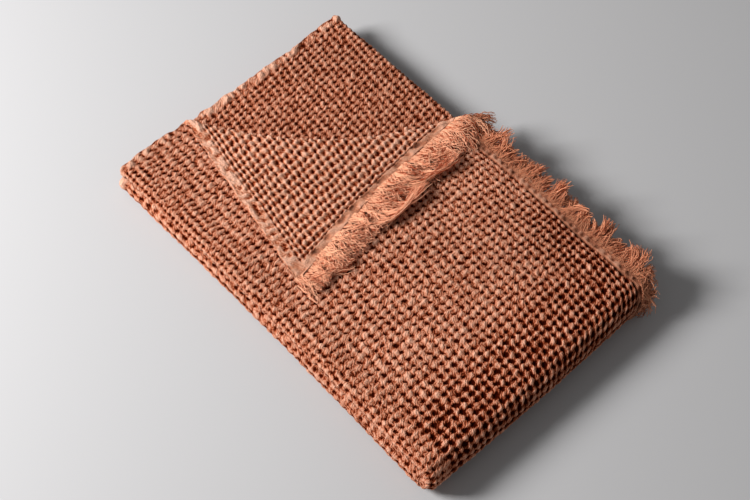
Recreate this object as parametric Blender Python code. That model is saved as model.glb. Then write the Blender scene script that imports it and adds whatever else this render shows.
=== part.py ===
"""A waffle-weave cotton throw with fringed ends, folded to a stack with one corner turned back.

The cloth is rolled up flat across its length into a bundle of four layers, and the
bundle is then folded in half over its long side.  Everything is placed by one function,
cloth_point, which takes a place on the flat cloth to its place in the folded stack.
Metres, +Z up, +X along the stack, the fringed edge on the +Y side.
"""
import bpy
import bmesh
import math
import numpy as np

# The folded stack
STACK_LENGTH = 0.650        # from the hemmed end to the turned end, along X
STACK_WIDTH = 0.418         # from the rolled side to the fringed side, along Y
CLOTH = 0.0055              # thickness of the chunky weave
LAYER_GAP = 0.0012          # air between two layers
PITCH = CLOTH + LAYER_GAP
BUNDLE_TOP = 3.5 * PITCH + CLOTH / 2     # outer face of a bundle, from the mid-plane
TURN_OPENING = 0.0030       # how far the bundle stands open at the turned end
TURN_REACH = 0.110          # length over which it opens
TURN_CENTRE_X = STACK_LENGTH - BUNDLE_TOP - TURN_OPENING

# The cloth's two fringed edges
TOP_EDGE_Y = 0.413          # outer end of the cloth on the top of the stack
FLOOR_EDGE_Y = 0.376        # the same edge where it lies under the stack
INNER_EDGE_Y = 0.358        # inner end of the cloth, hidden in the roll
LOWER_SHIFT = -0.006        # the lower bundle sticks out past the upper one

# The turned-back corner, on the stack's top
FOLD_FROM = (0.000, 0.118)  # the fold line's end on the hem, from the stack's corner
FOLD_TO = (0.268, TOP_EDGE_Y)            # its end on the fringed edge
FOLD_TIP = (0.314, 0.060)   # where the corner's tip comes to lie
FOLD_BOW = 0.037            # how far the fold line bows towards the tip
FRINGE_BOW = 0.013          # how far the corner's fringed edge bows in
FOLD_RADIUS = 0.0048        # of the cloth's middle in the loop
FLAP_SETTLE = 0.060         # beyond the loop, length over which the corner lies down
FLAP_CLEAR = 0.0010         # air under the corner where it lies down
SHORTEST_RIB = 0.012
FLAP_FRINGE_WAY = (0.988, 0.152)         # the way the corner's fringe points

# The fringe
EDGE_PARTING = 0.0005       # between the cloth's edge and the strip of roots
ROOT_WIDTH = 0.0050
ROOT_THICKNESS = 0.0030
LOCK_LENGTH = 0.038
LOCK_PITCH = 0.0125
INNER_LOCK_PITCH = 0.0210

# How the stack is centred on its own box
CENTRE_X = 0.32645
CENTRE_Y = 0.22735

# Rows of the rolled section: the run's name, its level from the middle of the stack,
# the Y where it starts and ends, and the number of steps.  A turn's ends are its levels.
WRAP_Y = 1.5 * PITCH + CLOTH / 2          # centre of the big roll on the plain side
FAR_TURN_Y = STACK_WIDTH - PITCH - CLOTH / 2
INNER_TURN_Y = WRAP_Y + 0.0004
SECTION = (
    # kind,   first level, last level, first Y,      last Y,       steps
    ("run",   3.5,         3.5,        TOP_EDGE_Y,   WRAP_Y,       16),
    ("turn",  3.5,         0.5,        WRAP_Y,       -1.0,         7),
    ("run",   0.5,         0.5,        WRAP_Y,       FAR_TURN_Y,   9),
    ("turn",  0.5,         2.5,        FAR_TURN_Y,   1.0,          6),
    ("run",   2.5,         2.5,        FAR_TURN_Y,   INNER_TURN_Y, 11),
    ("turn",  2.5,         1.5,        INNER_TURN_Y, -1.0,         4),
    ("run",   1.5,         1.5,        INNER_TURN_Y, INNER_EDGE_Y, 6),
)

UPPER_STEPS = 19            # columns along the upper bundle
TURN_STEPS = 9              # columns round the turned end
LOWER_STEPS = 11            # columns along the lower bundle


def smooth_step(value):
    """0 below 0, 1 above 1, and a soft rise between."""
    value = min(max(value, 0.0), 1.0)
    return value * value * (3.0 - 2.0 * value)


def section_runs():
    """Each run of the roll with its length on the flat cloth and where it begins there."""
    runs = []
    begin = 0.0
    for kind, first_level, last_level, first_y, last_y, steps in SECTION:
        if kind == "run":
            length = abs(last_y - first_y)
        else:
            length = math.pi * abs(last_level - first_level) * PITCH / 2
        runs.append((kind, first_level, last_level, first_y, last_y, steps, begin, length))
        begin += length
    return runs


RUNS = section_runs()
CLOTH_LENGTH = RUNS[-1][6] + RUNS[-1][7]
TOP_RUN = RUNS[0][7]
HALF_TURN = math.pi * (TURN_OPENING + 2.0 * PITCH)
CLOTH_WIDTH = 2.0 * TURN_CENTRE_X + HALF_TURN


def rolled_place(along, offset):
    """Y and height over the mid-plane at a length along the roll, offset to the outer face."""
    for kind, first_level, last_level, first_y, last_y, _, begin, length in RUNS:
        if along <= begin + length or kind == RUNS[-1][0] and begin == RUNS[-1][6]:
            break
    step = along - begin
    if kind == "run":
        heading = 1.0 if last_y > first_y else -1.0
        return first_y + heading * step, first_level * PITCH - heading * offset
    radius = abs(last_level - first_level) * PITCH / 2
    angle = step / radius
    side = last_y
    rise = 1.0 if last_level > first_level else -1.0
    middle = (first_level + last_level) / 2 * PITCH
    reach = radius + offset
    return first_y + side * reach * math.sin(angle), middle - rise * reach * math.cos(angle)


def edge_retreat(along, turned):
    """The outer end of the cloth lies further in under the stack than on its top."""
    if along > TOP_RUN:
        return 0.0
    return (FLOOR_EDGE_Y - TOP_EDGE_Y) * turned * (1.0 - along / TOP_RUN)


def corner_frame():
    """Length, direction and outward normal of the corner's fold line."""
    run_x = FOLD_TO[0] - FOLD_FROM[0]
    run_y = FOLD_TO[1] - FOLD_FROM[1]
    length = math.hypot(run_x, run_y)
    return length, (run_x / length, run_y / length), (-run_y / length, run_x / length)


FOLD_LENGTH, FOLD_WAY, FOLD_OUT = corner_frame()


def along_fold(x, y):
    """Place along the fold's chord and distance out from it, towards the corner."""
    from_x = x - FOLD_FROM[0]
    from_y = y - FOLD_FROM[1]
    return (from_x * FOLD_WAY[0] + from_y * FOLD_WAY[1],
            from_x * FOLD_OUT[0] + from_y * FOLD_OUT[1])


CORNER_WAY, CORNER_OUT = along_fold(0.0, TOP_EDGE_Y)
TIP_WAY, TIP_OUT = along_fold(*FOLD_TIP)


def lift_line(way):
    """Where the cloth lifts, as a distance out from the fold's chord."""
    middle = 2.0 * way / FOLD_LENGTH - 1.0
    return -FOLD_BOW * (1.0 - middle * middle) - FOLD_RADIUS


def rib_end(way):
    """Where a rib of the corner ends: flat on the cloth, and turned back on the stack."""
    if way < CORNER_WAY:
        share = way / CORNER_WAY
        return share * CORNER_OUT, share * TIP_WAY, share * TIP_OUT
    share = (FOLD_LENGTH - way) / (FOLD_LENGTH - CORNER_WAY)
    bow = 4.0 * FRINGE_BOW * share * (1.0 - share)
    return (share * CORNER_OUT, FOLD_LENGTH + share * (TIP_WAY - FOLD_LENGTH) - bow * FOLD_WAY[0],
            share * TIP_OUT - bow * FOLD_OUT[0])


def past_lift(x, y):
    """How far a point of the flat top layer lies past the line where it lifts."""
    way, out = along_fold(x, y)
    return out - lift_line(way)


def turn_corner(x, y, height, offset):
    """Fold the top layer over the bowed line; height is that of the cloth's middle."""
    fringe = max(y - TOP_EDGE_Y, 0.0)
    y -= fringe
    way, out = along_fold(x, y)
    lift = lift_line(way)
    past = out - lift
    if past <= 0.0:
        return x, y + fringe, height + offset
    loop = math.pi * FOLD_RADIUS
    if past < loop:
        angle = past / FOLD_RADIUS
        reach = FOLD_RADIUS - offset
        out = lift + reach * math.sin(angle)
        height += FOLD_RADIUS - reach * math.cos(angle)
    else:
        beyond = past - loop
        flat_out, end_way, end_out = rib_end(way)
        share = beyond / max(flat_out - lift - loop, SHORTEST_RIB)
        out = lift + share * (end_out - lift)
        way += share * (end_way - way)
        lying = CLOTH + FLAP_CLEAR
        settled = smooth_step(beyond / FLAP_SETTLE)
        height += 2.0 * FOLD_RADIUS * (1.0 - settled) + lying * settled - offset
    x = FOLD_FROM[0] + way * FOLD_WAY[0] + out * FOLD_OUT[0] + fringe * FLAP_FRINGE_WAY[0]
    y = FOLD_FROM[1] + way * FOLD_WAY[1] + out * FOLD_OUT[1] + fringe * FLAP_FRINGE_WAY[1]
    return x, y, height


def uneven(x, y, z):
    """The slow unevenness of a hand-folded stack; the floor plane stays flat."""
    swell = 1.0 + 0.030 * math.sin(11.0 * x + 5.0 * y + 0.6) + 0.022 * math.sin(17.0 * y - 7.0 * x)
    side = 0.0045 * math.sin(math.pi * x / STACK_LENGTH)
    end = 0.0035 * math.sin(math.pi * y / STACK_WIDTH)
    return x + end, y + side, z * swell


def cloth_point(across, along, offset):
    """Place of a point of the cloth in the stack.

    across runs from the upper hem to the lower hem, along from the outer fringed edge
    to the inner one, and offset from the cloth's middle towards its outer face.
    """
    y, level = rolled_place(along, offset)
    if across <= TURN_CENTRE_X:
        x = across
        opening = TURN_OPENING * smooth_step(1.0 - (TURN_CENTRE_X - x) / TURN_REACH)
        middle = BUNDLE_TOP + opening
        if along <= TOP_RUN:
            y_middle, level_middle = rolled_place(along, 0.0)
            x, y, z = turn_corner(x, y_middle, middle + opening + level_middle, offset)
        else:
            z = middle + opening + level
        turned = 0.0
    elif across <= TURN_CENTRE_X + HALF_TURN:
        angle = (across - TURN_CENTRE_X) / HALF_TURN * math.pi
        reach = TURN_OPENING + level
        x = TURN_CENTRE_X + reach * math.sin(angle)
        z = BUNDLE_TOP + TURN_OPENING + reach * math.cos(angle)
        turned = smooth_step(angle / math.pi)
    else:
        x = CLOTH_WIDTH - across
        z = BUNDLE_TOP - level
        turned = 1.0
    y += edge_retreat(along, turned) + LOWER_SHIFT * turned
    x, y, z = uneven(x, y, z)
    if abs(z) < 1e-7:
        z = 0.0
    return x - CENTRE_X, y - CENTRE_Y, z


def steps_between(first, last, count):
    """Evenly spaced places from first up to but not including last."""
    return [first + (last - first) * index / count for index in range(count)]


def column_places():
    """Where the sheet is divided from its upper hem to its lower one."""
    lower_from = TURN_CENTRE_X + HALF_TURN
    return (steps_between(0.0, TURN_CENTRE_X, UPPER_STEPS)
            + steps_between(TURN_CENTRE_X, lower_from, TURN_STEPS)
            + steps_between(lower_from, CLOTH_WIDTH, LOWER_STEPS) + [CLOTH_WIDTH])


def row_places():
    """Where the sheet is divided from its outer fringed edge to its inner one."""
    places = []
    for _, _, _, _, _, steps, begin, length in RUNS:
        places += steps_between(begin, begin + length, steps)
    return places + [CLOTH_LENGTH]


def flat_sheet():
    """The flat cloth as a grid, cut along the lines where the corner bends."""
    sheet = bmesh.new()
    rows = row_places()
    columns = column_places()
    grid = [[sheet.verts.new((across, along, 0.0)) for across in columns] for along in rows]
    for lower, upper in zip(grid, grid[1:]):
        for left in range(len(columns) - 1):
            sheet.faces.new((lower[left], lower[left + 1], upper[left + 1], upper[left]))
    for part in range(5):
        cut_at = math.pi * FOLD_RADIUS * part / 4
        cut_bend_line(sheet, cut_at)
    return sheet


def past_fold(vert):
    """How far a point of the flat cloth lies past the line where the corner lifts."""
    y, _ = rolled_place(vert.co.y, 0.0)
    return past_lift(vert.co.x, y)


def cut_bend_line(sheet, cut_at):
    """Split the top layer's faces along the bowed line at one distance past the lift."""
    top_faces = [face for face in sheet.faces
                 if face.calc_center_median().y < TOP_RUN
                 and face.calc_center_median().x < TURN_CENTRE_X]
    edges = {edge for face in top_faces for edge in face.edges}
    new_verts = []
    for edge in edges:
        first = past_fold(edge.verts[0]) - cut_at
        last = past_fold(edge.verts[1]) - cut_at
        if first * last < 0.0:
            share = first / (first - last)
            share = min(max(share, 0.02), 0.98)
            _, vert = bmesh.utils.edge_split(edge, edge.verts[0], share)
            new_verts.append(vert)
    new_verts = set(new_verts)
    for face in [face for face in sheet.faces if len(new_verts.intersection(face.verts)) == 2]:
        ends = [vert for vert in face.verts if vert in new_verts]
        bmesh.utils.face_split(face, ends[0], ends[1])


def thick_cloth(name):
    """Both faces of the folded cloth and the rim between them, as one closed body."""
    sheet = flat_sheet()
    bmesh.ops.triangulate(sheet, faces=[face for face in sheet.faces if len(face.verts) > 4])
    body = bmesh.new()
    skins = {}
    for side, offset in (("outer", CLOTH / 2), ("inner", -CLOTH / 2)):
        skins[side] = {vert: body.verts.new(cloth_point(vert.co.x, vert.co.y, offset))
                       for vert in sheet.verts}
    for face in sheet.faces:
        body.faces.new([skins["outer"][vert] for vert in reversed(face.verts)])
        body.faces.new([skins["inner"][vert] for vert in face.verts])
    for edge in sheet.edges:
        if edge.is_boundary:
            first, last = edge.verts
            body.faces.new((skins["outer"][first], skins["outer"][last],
                            skins["inner"][last], skins["inner"][first]))
    sheet.free()
    bmesh.ops.recalc_face_normals(body, faces=body.faces)
    return add_object(name, body)


def fringe_strip(name, places, place, flat_side, rise, curl, seed):
    """A strip of roots with one tapered lock to each step, as one closed body.

    places are the steps along the edge; place(at, out, up) gives a point at a distance out
    from the cloth's edge and up through its thickness.  The locks are level on flat_side,
    taper on the other, which rise points to, and curl lifts their tips that way.
    """
    random = np.random.RandomState(seed)
    body = bmesh.new()
    low, high = flat_side, flat_side + rise * ROOT_THICKNESS
    inner_out, outer_out = EDGE_PARTING, EDGE_PARTING + ROOT_WIDTH
    ribs = []
    for at in places:
        ribs.append([body.verts.new(place(at, out, up))
                     for out, up in ((inner_out, low), (inner_out, high),
                                     (outer_out, high), (outer_out, low))])
    body.faces.new(ribs[0])
    body.faces.new(ribs[-1])
    for index, (rib, following) in enumerate(zip(ribs, ribs[1:])):
        for first, last in ((0, 1), (1, 2), (3, 0)):
            body.faces.new((rib[first], rib[last], following[last], following[first]))
        lock_root = (rib[3], rib[2], following[2], following[3])
        middle = (places[index] + places[index + 1]) / 2
        width = places[index + 1] - places[index]
        length = LOCK_LENGTH * random.uniform(0.72, 1.0)
        sway = width * random.uniform(-0.25, 0.25)
        tip_lift = curl * random.uniform(0.2, 1.0)
        ring = lock_root
        for share, half_width, thickness in ((0.45, 0.32, 0.75), (0.85, 0.17, 0.45)):
            out = outer_out + length * share
            lift = tip_lift * share * share
            around = []
            for side, top in ((-1, 0), (-1, 1), (1, 1), (1, 0)):
                up = low + rise * (lift + top * ROOT_THICKNESS * thickness)
                at = middle + sway * share + side * half_width * width
                around.append(body.verts.new(place(at, out, up)))
            for first in range(4):
                last = (first + 1) % 4
                body.faces.new((ring[first], ring[last], around[last], around[first]))
            ring = around
        tip = body.verts.new(place(middle + sway, outer_out + length, low + rise * tip_lift))
        for first in range(4):
            body.faces.new((ring[first], ring[(first + 1) % 4], tip))
    bmesh.ops.recalc_face_normals(body, faces=body.faces)
    return add_object(name, body)


def fringe_places(first, last, pitch):
    """The steps between locks along an edge."""
    count = round((last - first) / pitch)
    return [first + (last - first) * index / count for index in range(count + 1)]


def outer_edge(at, out, up):
    """A point outside the cloth's outer fringed edge."""
    return cloth_point(at, -out, up)


def inner_edge(at, out, up):
    """A point outside the cloth's inner fringed edge."""
    return cloth_point(at, CLOTH_LENGTH + out, up)


def add_object(name, body):
    """Put the finished mesh in the scene with the cotton's own material."""
    mesh = bpy.data.meshes.new(name)
    body.to_mesh(mesh)
    body.free()
    mesh.shade_smooth()
    piece = bpy.data.objects.new(name, mesh)
    bpy.context.scene.collection.objects.link(piece)
    piece.data.materials.append(cotton(name))
    return piece


def cotton(name):
    """Matt terracotta cotton."""
    material = bpy.data.materials.new(name + "_cotton")
    material.use_nodes = True
    shader = material.node_tree.nodes["Principled BSDF"]
    shader.inputs["Base Color"].default_value = (0.45, 0.165, 0.092, 1.0)
    shader.inputs["Roughness"].default_value = 0.9
    shader.inputs["Metallic"].default_value = 0.0
    return material


def main():
    for existing in list(bpy.data.objects):
        bpy.data.objects.remove(existing, do_unlink=True)
    middle = -ROOT_THICKNESS / 2
    fold_end = FOLD_TO[0]
    lower_from = TURN_CENTRE_X + HALF_TURN
    thick_cloth("throw_cloth")
    fringe_strip("fringe_corner", fringe_places(0.004, fold_end - 0.030, LOCK_PITCH),
                 outer_edge, middle, 1.0, 0.0, 3)
    fringe_strip("fringe_top", fringe_places(fold_end + 0.004, TURN_CENTRE_X - 0.002, LOCK_PITCH),
                 outer_edge, middle, 1.0, 0.012, 5)
    turn_places = steps_between(TURN_CENTRE_X, lower_from, TURN_STEPS) + [lower_from - 0.001]
    fringe_strip("fringe_turn", turn_places, outer_edge, middle, 1.0, 0.0, 7)
    fringe_strip("fringe_floor", fringe_places(lower_from, CLOTH_WIDTH - 0.004, LOCK_PITCH),
                 outer_edge, CLOTH / 2, -1.0, 0.0, 9)
    inner_places = (fringe_places(0.004, TURN_CENTRE_X, INNER_LOCK_PITCH)[:-1]
                    + turn_places[:-1]
                    + fringe_places(lower_from, CLOTH_WIDTH - 0.004, INNER_LOCK_PITCH))
    fringe_strip("fringe_inner", inner_places, inner_edge, middle, 1.0, 0.0, 11)


main()
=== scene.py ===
# %% [markdown]
# # A folded waffle-weave throw
#
# A cotton throw has been rolled flat into four layers, folded in half, and one corner of the
# top layer turned back.  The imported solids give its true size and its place.  Here the
# cloth's solid gives way to sheets with its real relief, and each strip of fringe to loose
# yarn.

# %% Load the frame
import math
import bpy
import numpy as np
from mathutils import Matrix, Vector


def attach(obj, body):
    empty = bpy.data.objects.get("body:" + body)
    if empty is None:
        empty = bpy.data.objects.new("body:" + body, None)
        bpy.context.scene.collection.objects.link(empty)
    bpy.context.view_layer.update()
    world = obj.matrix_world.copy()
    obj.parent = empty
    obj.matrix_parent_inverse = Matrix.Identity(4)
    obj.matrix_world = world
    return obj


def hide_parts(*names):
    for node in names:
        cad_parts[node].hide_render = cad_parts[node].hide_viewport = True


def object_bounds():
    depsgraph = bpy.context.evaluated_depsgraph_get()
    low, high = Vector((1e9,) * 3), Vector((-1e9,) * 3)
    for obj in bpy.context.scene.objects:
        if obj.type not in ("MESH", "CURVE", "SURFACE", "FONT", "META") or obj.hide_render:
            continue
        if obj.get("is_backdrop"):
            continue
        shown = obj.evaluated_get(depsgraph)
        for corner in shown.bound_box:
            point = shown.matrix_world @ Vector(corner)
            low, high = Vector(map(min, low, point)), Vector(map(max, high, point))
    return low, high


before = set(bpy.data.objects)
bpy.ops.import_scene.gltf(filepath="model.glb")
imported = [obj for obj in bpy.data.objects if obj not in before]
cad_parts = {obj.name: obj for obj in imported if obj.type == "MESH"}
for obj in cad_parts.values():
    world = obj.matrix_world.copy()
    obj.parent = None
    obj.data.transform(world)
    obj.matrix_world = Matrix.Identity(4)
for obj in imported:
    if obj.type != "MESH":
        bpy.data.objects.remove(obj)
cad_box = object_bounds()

print("solids:", ", ".join(sorted(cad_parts)))

# %% [markdown]
# ## The camera
#
# A camera comes first, because every later choice is judged through it.  A product
# picture like this is taken from above and to one side with a moderately long lens, which
# keeps the far side of the stack nearly as wide as the near side.

# %% Camera
SENSOR = 36.0
PIXELS_WIDE = 750
FOCAL_PIXELS = 1560.0
AZIMUTH, ELEVATION = math.radians(47.407), math.radians(60.076)
CAMERA_DISTANCE = 2.180
LOOK_AT = np.array([0.00935, -0.03965, 0.026])

camera_data = bpy.data.cameras.new("camera")
camera_data.sensor_width = SENSOR
camera_data.lens = FOCAL_PIXELS / PIXELS_WIDE * SENSOR
camera = bpy.data.objects.new("camera", camera_data)
bpy.context.scene.collection.objects.link(camera)
toward_camera = np.array([math.sin(AZIMUTH) * math.cos(ELEVATION),
                          -math.cos(AZIMUTH) * math.cos(ELEVATION), math.sin(ELEVATION)])
camera.location = LOOK_AT + CAMERA_DISTANCE * toward_camera
camera.rotation_euler = (math.pi / 2 - ELEVATION, 0.0, AZIMUTH)
bpy.context.scene.camera = camera
print(f"lens {camera_data.lens:.1f} mm at {CAMERA_DISTANCE} m")

# %% [markdown]
# ## The stack's sizes
#
# The cloth is one piece, so one set of sizes says how it is rolled and folded.  They are
# the solids' own, in metres, with the same words: a level is counted in layers from the
# middle of a bundle, and a run or a turn carries the cloth on to the next level.

# %% Sizes of the folded stack
STACK_LENGTH, STACK_WIDTH = 0.650, 0.418
CLOTH, PITCH = 0.0055, 0.0067
BUNDLE_TOP = 3.5 * PITCH + CLOTH / 2
TURN_OPENING, TURN_REACH = 0.0030, 0.110
TURN_CENTRE_X = STACK_LENGTH - BUNDLE_TOP - TURN_OPENING
HALF_TURN = math.pi * (TURN_OPENING + 2.0 * PITCH)
CLOTH_WIDTH = 2.0 * TURN_CENTRE_X + HALF_TURN
LOWER_FROM = TURN_CENTRE_X + HALF_TURN
TOP_EDGE_Y, FLOOR_EDGE_Y, INNER_EDGE_Y = 0.413, 0.376, 0.358
LOWER_SHIFT = -0.006
WRAP_Y = 1.5 * PITCH + CLOTH / 2
FAR_TURN_Y = STACK_WIDTH - PITCH - CLOTH / 2
CENTRE_X, CENTRE_Y = 0.32645, 0.22735

# kind, first level, last level, first Y, last Y (for a turn: the side it bulges to)
SECTION = (
    ("run", 3.5, 3.5, TOP_EDGE_Y, WRAP_Y),
    ("turn", 3.5, 0.5, WRAP_Y, -1.0),
    ("run", 0.5, 0.5, WRAP_Y, FAR_TURN_Y),
    ("turn", 0.5, 2.5, FAR_TURN_Y, 1.0),
    ("run", 2.5, 2.5, FAR_TURN_Y, WRAP_Y + 0.0004),
    ("turn", 2.5, 1.5, WRAP_Y + 0.0004, -1.0),
    ("run", 1.5, 1.5, WRAP_Y + 0.0004, INNER_EDGE_Y),
)


def section_starts():
    """The length along the roll where each run or turn begins, and the whole length."""
    starts = [0.0]
    for kind, first_level, last_level, first_y, last_y in SECTION:
        if kind == "run":
            starts.append(starts[-1] + abs(last_y - first_y))
        else:
            starts.append(starts[-1] + math.pi * abs(last_level - first_level) * PITCH / 2)
    return starts


STARTS = section_starts()
TOP_RUN, CLOTH_LENGTH = STARTS[1], STARTS[-1]
print(f"flat cloth {CLOTH_WIDTH:.3f} x {CLOTH_LENGTH:.3f} m")

# %% [markdown]
# ## Rolling the cloth
#
# The first helper takes lengths along the roll and gives their place in its section.  It
# works on whole arrays at once, which is what makes a weave of many thousand points quick.


# %% Place in the rolled section
def rolled_place(along, offset):
    """Y and height over the bundle's middle, offset towards the cloth's face."""
    y, level = np.zeros(along.shape), np.zeros(along.shape)
    last = len(SECTION) - 1
    for index, (kind, first_level, last_level, first_y, last_y) in enumerate(SECTION):
        here = (along >= STARTS[index]) | (index == 0)
        here &= (along < STARTS[index + 1]) | (index == last)
        step = along - STARTS[index]
        if kind == "run":
            heading = 1.0 if last_y > first_y else -1.0
            y = np.where(here, first_y + heading * step, y)
            level = np.where(here, first_level * PITCH - heading * offset, level)
        else:
            radius = abs(last_level - first_level) * PITCH / 2
            rise = 1.0 if last_level > first_level else -1.0
            middle = (first_level + last_level) / 2 * PITCH
            angle = step / radius
            y = np.where(here, first_y + last_y * (radius + offset) * np.sin(angle), y)
            level = np.where(here, middle - rise * (radius + offset) * np.cos(angle), level)
    return y, level


side_y, _ = rolled_place(np.array([TOP_RUN + 0.015]), np.array([CLOTH / 2]))
print("the roll's side is at y =", side_y.round(4))

# %% [markdown]
# ## Turning the corner back
#
# The corner folds over a soft loop, not a sharp crease.  Its fold line bows, because the
# hand that turned it pulled at the tip.  Each rib of the corner starts at that line and
# ends on the hem or on the fringed edge where the real one lies.

# %% The turned-back corner
FOLD_FROM, FOLD_TO, FOLD_TIP = (0.000, 0.118), (0.268, TOP_EDGE_Y), (0.314, 0.060)
FOLD_BOW, FRINGE_BOW, FOLD_RADIUS = 0.037, 0.013, 0.0048
FLAP_SETTLE, FLAP_CLEAR, SHORTEST_RIB = 0.060, 0.0010, 0.012
FLAP_FRINGE_WAY = (0.988, 0.152)
# the fringe swings round to that way from a little before the cloth lifts
FAN_BEFORE, FAN_REACH = 0.012, 0.034
LOOP = math.pi * FOLD_RADIUS
FOLD_LENGTH = math.dist(FOLD_FROM, FOLD_TO)
FOLD_WAY = ((FOLD_TO[0] - FOLD_FROM[0]) / FOLD_LENGTH, (FOLD_TO[1] - FOLD_FROM[1]) / FOLD_LENGTH)
FOLD_OUT = (-FOLD_WAY[1], FOLD_WAY[0])


def smooth_step(value):
    """0 below 0, 1 above 1, and a soft rise between."""
    value = np.clip(value, 0.0, 1.0)
    return value * value * (3.0 - 2.0 * value)


def along_fold(x, y):
    """Place along the fold's chord and distance out from it, towards the corner."""
    from_x, from_y = x - FOLD_FROM[0], y - FOLD_FROM[1]
    return (from_x * FOLD_WAY[0] + from_y * FOLD_WAY[1],
            from_x * FOLD_OUT[0] + from_y * FOLD_OUT[1])


CORNER_WAY, CORNER_OUT = along_fold(0.0, TOP_EDGE_Y)
TIP_WAY, TIP_OUT = along_fold(*FOLD_TIP)


def past_lift(x, y):
    """How far a point of the flat top layer lies past the bowed line where it lifts."""
    way, out = along_fold(x, y)
    return out + FOLD_BOW * (1.0 - (2.0 * way / FOLD_LENGTH - 1.0) ** 2) + FOLD_RADIUS


def laid_corner(x, y):
    """Places along and out from the fold, past its lift, and where the corner lays them flat."""
    way, out = along_fold(x, y)
    past = past_lift(x, y)
    lift = out - past
    hem_share = way / CORNER_WAY
    fringe_share = (FOLD_LENGTH - way) / (FOLD_LENGTH - CORNER_WAY)
    on_hem = way < CORNER_WAY
    bow = np.where(on_hem, 0.0, 4.0 * FRINGE_BOW * fringe_share * (1.0 - fringe_share))
    flat_out = np.where(on_hem, hem_share, fringe_share) * CORNER_OUT
    end_way = np.where(on_hem, hem_share * TIP_WAY,
                       FOLD_LENGTH + fringe_share * (TIP_WAY - FOLD_LENGTH)) - bow * FOLD_WAY[0]
    end_out = np.where(on_hem, hem_share, fringe_share) * TIP_OUT - bow * FOLD_OUT[0]
    share = (past - LOOP) / np.maximum(flat_out - lift - LOOP, SHORTEST_RIB)
    return way, past, lift, way + share * (end_way - way), lift + share * (end_out - lift)


def turn_corner(x, y, height, offset):
    """Fold the top layer over; height is that of the cloth's middle."""
    fringe = np.maximum(y - TOP_EDGE_Y, 0.0)
    way, past, lift, laid_way, laid_out = laid_corner(x, y - fringe)
    fan = smooth_step((past + FAN_BEFORE) / FAN_REACH)
    fringe_x = fringe * fan * FLAP_FRINGE_WAY[0]
    fringe_y = fringe * (1 - fan + fan * FLAP_FRINGE_WAY[1])
    angle = np.clip(past, 0.0, LOOP) / FOLD_RADIUS
    reach = FOLD_RADIUS - offset
    settled = smooth_step((past - LOOP) / FLAP_SETTLE)
    looped = past < LOOP
    turned_out = np.where(looped, lift + reach * np.sin(angle), laid_out)
    turned_way = np.where(looped, way, laid_way)
    lying = 2.0 * FOLD_RADIUS * (1.0 - settled) + (CLOTH + FLAP_CLEAR) * settled - offset
    turned_height = height + np.where(looped, FOLD_RADIUS - reach * np.cos(angle), lying)
    new_x = FOLD_FROM[0] + turned_way * FOLD_WAY[0] + turned_out * FOLD_OUT[0]
    new_y = FOLD_FROM[1] + turned_way * FOLD_WAY[1] + turned_out * FOLD_OUT[1]
    flat = past <= 0.0
    return (np.where(flat, x, new_x) + fringe_x,
            np.where(flat, y - fringe, new_y) + fringe_y,
            np.where(flat, height + offset, turned_height))


print(f"corner folded over {FOLD_LENGTH:.3f} m")

# %% [markdown]
# ## From the flat cloth to the stack
#
# Now the bundle is folded in half across its length.  The swell and the soft creases are
# put in one by one: a stack folded by hand is never quite level.

# %% Place in the folded stack
# x, y of a crease's two ends, its depth (a ridge if it is below 0) and its half width
CREASES = (
    (0.02, 0.030, 0.60, 0.026, -0.0012, 0.006),
    (0.30, 0.050, 0.63, 0.075, 0.0011, 0.020),
    (0.36, 0.395, 0.62, 0.350, 0.0012, 0.016),
    (0.40, 0.300, 0.56, 0.330, -0.0010, 0.030),
    (0.05, 0.060, 0.22, 0.040, 0.0012, 0.012),
    (0.03, 0.330, 0.20, 0.300, 0.0010, 0.020),
)


def crease_lift(x, y):
    """Height of the listed ridges and troughs at places of the stack."""
    lift = np.zeros(x.shape)
    for x1, y1, x2, y2, depth, half_width in CREASES:
        run_x, run_y = x2 - x1, y2 - y1
        share = ((x - x1) * run_x + (y - y1) * run_y) / (run_x ** 2 + run_y ** 2)
        ends = smooth_step(4.0 * share) * smooth_step(4.0 * (1.0 - share))
        away = ((x - x1) * run_y - (y - y1) * run_x) / math.hypot(run_x, run_y)
        lift -= depth * ends * np.exp(-(away / half_width) ** 2)
    return lift


def uneven(x, y, z):
    """The slow unevenness of a hand-folded stack; the floor plane stays flat."""
    swell = 1.0 + 0.030 * np.sin(11.0 * x + 5.0 * y + 0.6) + 0.022 * np.sin(17.0 * y - 7.0 * x)
    high = np.clip(z / (2.0 * BUNDLE_TOP), 0.0, 1.2) ** 3
    side = 0.0045 * np.sin(math.pi * x / STACK_LENGTH)
    end = 0.0035 * np.sin(math.pi * y / STACK_WIDTH)
    return x + end, y + side, z * swell + high * crease_lift(x, y)


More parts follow.
